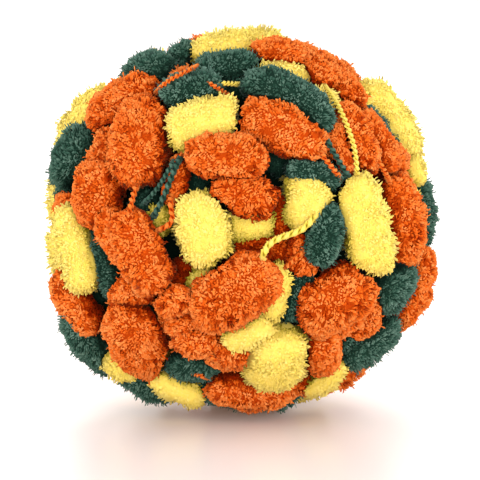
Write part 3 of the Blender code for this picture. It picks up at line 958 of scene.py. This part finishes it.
def heart_points():
    """A sphere whose radius swells and sinks by a few millimetres."""
    tilt, turn = rings_and_poles(HEART_RINGS, HEART_SIDES)
    way = np.stack([np.cos(tilt) * np.cos(turn), np.cos(tilt) * np.sin(turn), np.sin(tilt)], axis=-1)
    radius = HEART_RADIUS - HEART_DEPTH + HEART_SWELL * lumpy(way * HEART_RADIUS, HEART_LUMPS)
    return CENTRE + way * radius[:, None], way


heart = Pieces()
points, way = heart_points()
# painted shade, nearly black, a little lighter in places over the heart
share = HEART_PAINTED_SHADE * (1 + 3 * np.abs(lumpy(points, HEART_LUMPS / 2)))
tone = np.linspace(*HEART_TONES, len(points))
heart.add(points[None], closed_tube(HEART_RINGS, HEART_SIDES), way[None], tone, share)
heart.make("heart", finishes[GREEN], "green_pile")

# %% [markdown]
# ## The cords
#
# The yarn itself is two plies twisted round each other. It shows wherever it crosses from one pompom to
# the next. A cord is drawn where it is seen, then let down onto the pile: each of its points slides
# along the line of sight until it meets a filled cube. A pulled cord can't follow every dip, so it is
# then tightened, and both its ends turn inwards.

# %% Lines in even steps
LETDOWN_START = 100 * MM
LETDOWN_LENGTH = 90 * MM
CORD_STEP = 0.5 * MM
SPANS = (1, 2, 4, 8, 16)
TAUT_ROUNDS = 6
DIVE_LENGTH = 5 * MM
DIVE_DEPTH = 6 * MM
LEAST_STEPS = 8
DOWN_MEAN = 4
LINE_MEAN = 9


def carry_on(values, number):
    """The values carried on at both ends by their mirror image turned upside down, so that a mean over
    both sides leaves the end where it is."""
    return np.pad(values, number, mode="reflect", reflect_type="odd")


def running_mean(values, reach):
    """The mean of each value and some neighbours on both sides."""
    count = 2 * reach + 1
    return np.convolve(carry_on(values, reach), np.full(count, 1 / count), mode="valid")


def lengths_along(line):
    """How far along a line each of its points lies."""
    return np.concatenate([[0], np.cumsum(np.linalg.norm(np.diff(line, axis=0), axis=1))])


def even_steps(line, steps):
    """Even steps along a line, as lengths and as points."""
    lengths = lengths_along(line)
    at = np.linspace(0, lengths[-1], steps)
    return at, np.stack([np.interp(at, lengths, column) for column in line.T], axis=-1)


# %% Let it down, tighten it and turn its ends in
def let_down(starts, ways, lift):
    """How far along its way each point first meets the pile, less the lift. Then, for ever wider spans,
    no point stays deeper than the middle between its two neighbours that far away, which is what a taut
    cord does. A short running mean rounds it, and the ends go deeper by a smooth step."""
    depth = np.arange(0, LETDOWN_LENGTH, CORD_STEP)
    hit = is_filled(starts[:, None] + depth[:, None] * ways[:, None])
    met = np.flatnonzero(hit.any(axis=1))
    down = np.interp(np.arange(len(starts)), met, depth[np.argmax(hit[met], axis=1)]) - lift
    for _ in range(TAUT_ROUNDS):
        for span in SPANS:
            padded = carry_on(down, span)
            down = np.minimum(down, (padded[: -2 * span] + padded[2 * span :]) / 2)
    down = running_mean(down, DOWN_MEAN)
    along = np.arange(len(down)) * CORD_STEP
    to_end = np.minimum(along, along[-1] - along)
    near = np.clip(1 - to_end / DIVE_LENGTH, 0, 1)
    down += DIVE_DEPTH * near**2 * (3 - 2 * near)
    return starts + down[:, None] * ways


def smooth_line(corners):
    """Even steps along a line through the corners, rounded by a running mean."""
    steps = max(LEAST_STEPS, int(lengths_along(corners)[-1] / CORD_STEP))
    _, line = even_steps(corners, steps)
    return np.stack([running_mean(column, min(steps // 3, LINE_MEAN)) for column in line.T], axis=-1)


def seen_cord(corners, lift):
    """A line drawn across the picture, in millimetres across and up, let down along the line of sight."""
    line = smooth_line(np.asarray(corners) * MM)
    eye = CENTRE - VIEW_DISTANCE * SIGHT
    rays = unit(CENTRE + line[:, :1] * RIGHT + line[:, 1:] * UP - eye)
    return let_down(eye + (VIEW_DISTANCE - LETDOWN_START) * rays, rays, lift)


# %% [markdown]
# ## The twist
#
# Each ply is a tube whose middle line winds round the cord as a helix. The part of a ply that faces
# outwards is painted lit, as a tip is, and the groove between the plies gets painted shade.

# %% Two plies
TWIST_PITCH = 2.2
PLY_THICK = 0.33
PLY_ASIDE = 0.19
PLY_ABOVE = 0.24
BULGE = 0.4
PLY_SIDES = 5
PLY_STEPS_A_TURN = 8
GROOVE_PAINTED_SHADE = 0.2
LIT_FROM = 0.55
CORD_TONE = 0.2
END_TONES = (0.2, 0.3)
TONE_SWING = 0.15
TONE_WAVE = 900


def twisted(line, thick, chance):
    """Two tubes round a line. The cord's thickness sets a ply's radius, how far its middle line is off
    the cord's middle, and how long one turn is. A ply bulges where it lies on top, and the two press
    together at the sides, which makes a row of beads."""
    pitch = TWIST_PITCH * thick
    steps = int(lengths_along(line)[-1] / pitch * PLY_STEPS_A_TURN) + 2
    at, middle = even_steps(line, steps)
    ahead = unit(np.gradient(middle, axis=0))
    side = unit(np.cross(ahead, middle - CENTRE))
    up = np.cross(side, ahead)
    for ply in (0, 1):
        angle = 2 * math.pi * at / pitch + ply * math.pi
        centre = PLY_ASIDE * np.cos(angle)[:, None] * side + PLY_ABOVE * np.sin(angle)[:, None] * up
        radius = PLY_THICK * thick * (1 - BULGE * np.cos(2 * angle))
        turn = angle[:, None] + turns_round(PLY_SIDES)
        ring = np.cos(turn)[..., None] * side[:, None] + np.sin(turn)[..., None] * up[:, None]
        facing = np.concatenate([ring.reshape(-1, 3), -ahead[:1], ahead[-1:]])
        ring = thick * centre[:, None] + radius[:, None, None] * ring
        # painted shade in the groove and painted light on the outer side of each ply
        outer = np.clip(np.linalg.norm(ring, axis=-1) / (LIT_FROM * thick), 0, 1)
        share = (GROOVE_PAINTED_SHADE + (1 - GROOVE_PAINTED_SHADE) * outer**2).ravel()
        points = np.concatenate([(middle[:, None] + ring).reshape(-1, 3), middle[[0, -1]]])
        share = np.append(share, (GROOVE_PAINTED_SHADE, GROOVE_PAINTED_SHADE))
        tone = CORD_TONE + TONE_SWING * np.sin(at * TONE_WAVE + chance.uniform(0, 6))
        tone = np.append(np.repeat(tone, PLY_SIDES), END_TONES)
        yield points[None], closed_tube(steps, PLY_SIDES)[:, ::-1], facing[None], tone, share


# %% The cords one sees on the front
# dye, thickness, height over the pile, and places across and up, in millimetres
FRONT_CORDS = [
    (GREEN, 2.3, 5.0, ((-29, 29), (-32, 25), (-35, 19), (-39, 13), (-45, 7))),
    (GREEN, 2.8, 3.6, ((-26, 31), (-29, 27), (-32, 19), (-35, 11), (-38, 5), (-41, 0))),
    (ORANGE, 2.4, 2.4, ((-34, 25), (-31, 28), (-28, 30), (-24, 32))),
    (ORANGE, 2.9, 7.0, ((-31, 12), (-33, 7), (-31, 3), (-30, 0), (-33, -2), (-39, -5))),
    (ORANGE, 2.6, 2.6, ((-46, 19), (-49, 12), (-50, 7), (-51, 1))),
    (ORANGE, 2.0, 3.2, ((-19, 70), (-28, 66), (-35, 62), (-40, 56))),
    (ORANGE, 2.0, 2.8, ((-17, 63), (-14, 62), (-10, 59), (-5, 56), (-1, 53))),
    (YELLOW, 2.0, 2.6, ((-13, 62), (-6, 62), (2, 61))),
    (YELLOW, 2.4, 2.6, ((36, 62), (42, 54), (46, 46), (49, 38), (51, 31), (52, 19))),
    (GREEN, 2.6, 2.8, ((37, 38), (43, 28), (49, 18))),
    (ORANGE, 2.4, 2.6, ((34, 32), (40, 25), (45, 18))),
    (YELLOW, 3.5, 3.0, ((34, 5), (29, -3), (22, -6), (15, -8), (10, -12), (9, -19))),
    (ORANGE, 2.2, 2.0, ((17, -23), (23, -18), (29, -12))),
    (ORANGE, 1.9, 2.2, ((-23, -68), (-18, -70), (-13, -71))),
    (ORANGE, 2.2, 2.6, ((-17, -59), (-12, -62), (-9, -66))),
    (ORANGE, 2.2, 2.6, ((60, 29), (64, 23), (67, 16))),
]

# %% [markdown]
# ## Cords on the rest of the ball
#
# On the sides and the back, cords join neighbouring pompoms of one dye by rule: from the end of one to
# the nearest end of another, the shortest way round the ball. A cord is left out where its end would
# come out of a pompom of another dye.

# %% Cords by rule
JOIN_SHORTEST = 14 * MM
JOIN_LONGEST = 42 * MM
JOIN_LIFT = 2.8 * MM
JOIN_THICK = (2.0, 2.4)
CORD_SEED = 5
BEHIND_RIM = 0.35
ABOVE_FLOOR = -0.75


def ends_of(lump):
    """The two places where yarn leaves a pompom."""
    radius = middle_radius(lump)
    return np.array([wrap(lump.out, lump.along, radius, end * lump.long / 2, lump.curl) for end in (-1, 1)])


def joining_cord(start, end):
    """The shortest way between two ends over the ball, let down towards the ball's middle."""
    steps = max(LEAST_STEPS, int(np.linalg.norm(end - start) / CORD_STEP))
    share = np.linspace(0, 1, steps)[:, None]
    out = unit((1 - share) * unit(start - CENTRE) + share * unit(end - CENTRE))
    return let_down(CENTRE + LETDOWN_START * out, -out, JOIN_LIFT)


def joins():
    """Cords between ends of different pompoms of one dye, shortest first, each end joined once."""
    ends = np.concatenate([ends_of(lump) for lump in lumps])
    owner = np.repeat(np.arange(len(lumps)), 2)
    dyes = np.array([lump.dye for lump in lumps])[owner]
    gap = np.linalg.norm(ends[:, None] - ends[None], axis=-1)
    fits = (owner[:, None] < owner[None]) & (dyes[:, None] == dyes[None])
    fits &= (gap > JOIN_SHORTEST) & (gap < JOIN_LONGEST)
    first, second = np.nonzero(fits)
    used, chosen = set(), []
    for pair in np.argsort(gap[first, second]):
        start, end = first[pair], second[pair]
        middle = unit((ends[start] + ends[end]) / 2 - CENTRE)
        if middle @ SIGHT < BEHIND_RIM or middle[2] < ABOVE_FLOOR or {start, end} & used:
            continue
        line = joining_cord(ends[start], ends[end])
        full = [fullness(lump, line[[0, -1]]) for lump in lumps]
        if any(lumps[number].dye != dyes[start] for number in np.argmin(full, axis=0)):
            continue
        used |= {start, end}
        chosen.append((int(dyes[start]), line))
    return chosen


# %% Make the cords
cords = {}
chance = np.random.default_rng(CORD_SEED)
for dye, thick, lift, corners in FRONT_CORDS:
    line = seen_cord(corners, lift * MM)
    for shape in twisted(line, thick * MM, chance):
        cords.setdefault(dye, Pieces()).add(*shape)
joined = joins()
for dye, line in joined:
    for shape in twisted(line, chance.uniform(*JOIN_THICK) * MM, chance):
        cords.setdefault(dye, Pieces()).add(*shape)
for dye, pieces in cords.items():
    pieces.make(f"{DYE_NAMES[dye]}_cords", finishes[dye], "twisted_yarn")
print(len(FRONT_CORDS), "cords on the front,", len(joined), "by rule")

# %% [markdown]
# ## Floor and light
#
# The ball stands on a pale, slightly glossy floor that runs into a white backdrop, in the even light of
# a photographer's tent. Large soft lamps light the ball from the front, both sides and the back, and a
# weak one above the front is the key. A faint warm glow is painted into the floor, standing in for the
# ball's warm light bounced onto it; it shows only in the ball's shade, and it also lights the ball a little
# from below.

# %% Floor, tent and lamps
FLOOR_HALF = 6.0
FLOOR_FINISH_AND_GLOW = {
    "Base Color": (0.72, 0.69, 0.67, 1),
    "Roughness": 0.3,
    "Specular IOR Level": 0.4,
    # painted light: the floor's faint warm glow
    "Emission Color": (0.08, 0.02, 0.0, 1),
    "Emission Strength": 1.0,
}
TENT_LIGHT = 1.3
# name, place and size in metres, and power in watts
LAMPS = [
    ("key", (-0.25, -1.1, 1.5), 1.2, 3),
    ("front", (0.1, -1.8, 0.05), 1.0, 45),
    ("left", (-1.8, 0.0, 0.15), 1.0, 22),
    ("right", (1.8, 0.0, 0.15), 1.0, 22),
    ("back", (0.0, 1.4, 1.3), 1.0, 26),
]


def make_floor():
    """One large square at the height of the ball's flat spot."""
    mesh = bpy.data.meshes.new("floor")
    corners = ((-1, -1), (1, -1), (1, 1), (-1, 1))
    mesh.from_pydata([(x * FLOOR_HALF, y * FLOOR_HALF, 0) for x, y in corners], [], [range(4)])
    mesh.materials.append(new_finish("floor_with_painted_glow", FLOOR_FINISH_AND_GLOW))
    floor = new_object("floor", mesh)


def make_lamp(name, place, size, power):
    """A square soft lamp that faces the ball's middle."""
    light = bpy.data.lights.new(name, "AREA")
    light.size, light.energy = size, power
    holder = new_object(name, light)
    holder.location = place
    aim = unit(CENTRE - np.array(place))
    holder.rotation_euler = (math.acos(-aim[2]), 0, math.atan2(aim[1], aim[0]) - math.pi / 2)


make_floor()
for lamp in LAMPS:
    make_lamp(*lamp)
tent = bpy.data.worlds.new("tent")
tent.use_nodes = True
backdrop = tent.node_tree.nodes["Background"].inputs
backdrop["Color"].default_value = (1, 1, 1, 1)
backdrop["Strength"].default_value = TENT_LIGHT
bpy.context.scene.world = tent
bpy.context.scene.view_settings.view_transform = "Standard"
print("a floor,", len(LAMPS), "lamps and a white tent")
